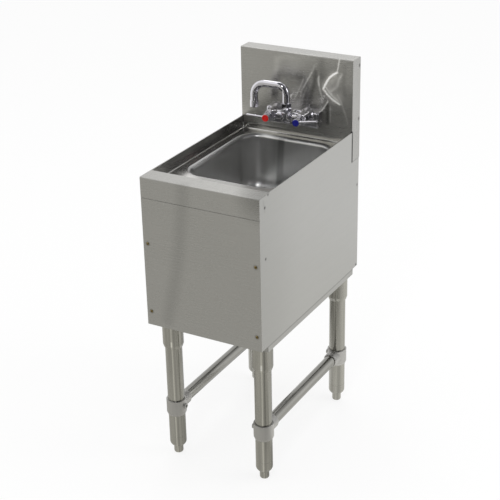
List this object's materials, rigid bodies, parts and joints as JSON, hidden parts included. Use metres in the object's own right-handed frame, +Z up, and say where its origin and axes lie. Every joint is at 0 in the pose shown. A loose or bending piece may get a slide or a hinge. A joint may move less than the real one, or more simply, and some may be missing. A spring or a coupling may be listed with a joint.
{
  "type": "underbar hand sink",
  "caption": "Narrow free-standing stainless steel hand sink with a drawn bowl, tall splash, swing-spout faucet with lever handles, and tube legs on adjustable feet.",
  "frame": {"origin": "on the floor, at the middle of the whole part's width and depth", "axes": "+Z up, +X to the user's right, -Y towards the user, with the splash at +Y"},
  "size_m": [0.3048, 0.5146, 0.9317],
  "materials": {
    "sheet_steel": "satin brushed sheet",
    "bowl_steel": "satin polished",
    "tube_steel": "brushed along the tube",
    "foot_metal": "dull cast metal",
    "cast_metal": "matt casting",
    "zinc_steel": "zinc plated",
    "screw_brass": "dulled",
    "raw_brass": "machined",
    "chrome": "polished",
    "rubber": "matt",
    "red_button": "glossy",
    "blue_button": "glossy"
  },
  "bodies": {
    "sink": {"left_side_panel": "sheet_steel", "right_side_panel": "sheet_steel", "front_apron": "sheet_steel", "front_panel": "sheet_steel", "front_panel_screws": "screw_brass", "deck_pan": "sheet_steel", "sink_bowl": "bowl_steel", "backsplash": "sheet_steel", "rear_brace": "sheet_steel", "left_leg_channel": "sheet_steel", "right_leg_channel": "sheet_steel", "leg_socket_front_left": "tube_steel", "leg_socket_front_right": "tube_steel", "leg_socket_rear_left": "tube_steel", "leg_socket_rear_right": "tube_steel", "socket_bolts": "zinc_steel", "leg_tube_front_left": "tube_steel", "leg_tube_front_right": "tube_steel", "leg_tube_rear_left": "tube_steel", "leg_tube_rear_right": "tube_steel", "foot_insert_front_left": "foot_metal", "foot_insert_front_right": "foot_metal", "foot_insert_rear_left": "foot_metal", "foot_insert_rear_right": "foot_metal", "rail_tee_front_left": "cast_metal", "rail_tee_front_right": "cast_metal", "rail_tee_rear_left": "cast_metal", "rail_tee_rear_right": "cast_metal", "left_side_rail": "tube_steel", "right_side_rail": "tube_steel", "set_screws": "zinc_steel", "faucet_body": "chrome", "faucet_shanks": "raw_brass", "shank_washers": "zinc_steel", "shank_locknuts": "raw_brass", "hot_bonnet": "chrome", "cold_bonnet": "chrome", "spout_nut": "chrome", "spout_packing": "rubber", "drain_flange": "chrome", "drain_strainer": "bowl_steel", "strainer_screw": "zinc_steel", "drain_gasket": "rubber", "drain_locknut": "raw_brass", "drain_tailpiece": "chrome", "tailpiece_nut": "chrome"},
    "spout": {"spout_tube": "chrome", "spout_outlet": "chrome"},
    "hot_tap": {"hot_stem": "raw_brass", "hot_handle": "chrome", "hot_handle_screw": "zinc_steel", "hot_index_button": "red_button"},
    "cold_tap": {"cold_stem": "raw_brass", "cold_handle": "chrome", "cold_handle_screw": "zinc_steel", "cold_index_button": "blue_button"},
    "foot_front_left": {"bullet_foot_front_left": "foot_metal"},
    "foot_front_right": {"bullet_foot_front_right": "foot_metal"},
    "foot_rear_left": {"bullet_foot_rear_left": "foot_metal"},
    "foot_rear_right": {"bullet_foot_rear_right": "foot_metal"}
  },
  "joints": [
    {"name": "spout_swing", "type": "hinge", "parent": "sink", "child": "spout", "pos_m": [0, 0.1621, 0.8015], "axis": [0, 0, 1], "range_deg": [-20, 200]},
    {"name": "hot_handle_turn", "type": "hinge", "parent": "sink", "child": "hot_tap", "pos_m": [-0.0413, 0.1371, 0.7865], "axis": [0, -1, 0], "range_deg": [0, 90]},
    {"name": "cold_handle_turn", "type": "hinge", "parent": "sink", "child": "cold_tap", "pos_m": [0.0413, 0.1371, 0.7865], "axis": [0, 1, 0], "range_deg": [0, 90]},
    {"name": "front_left_foot_adjust", "type": "slide", "parent": "sink", "child": "foot_front_left", "axis": [0, 0, -1], "range_m": [0, 0.025]},
    {"name": "front_right_foot_adjust", "type": "slide", "parent": "sink", "child": "foot_front_right", "axis": [0, 0, -1], "range_m": [0, 0.025]},
    {"name": "rear_left_foot_adjust", "type": "slide", "parent": "sink", "child": "foot_rear_left", "axis": [0, 0, -1], "range_m": [0, 0.025]},
    {"name": "rear_right_foot_adjust", "type": "slide", "parent": "sink", "child": "foot_rear_right", "axis": [0, 0, -1], "range_m": [0, 0.025]}
  ]
}
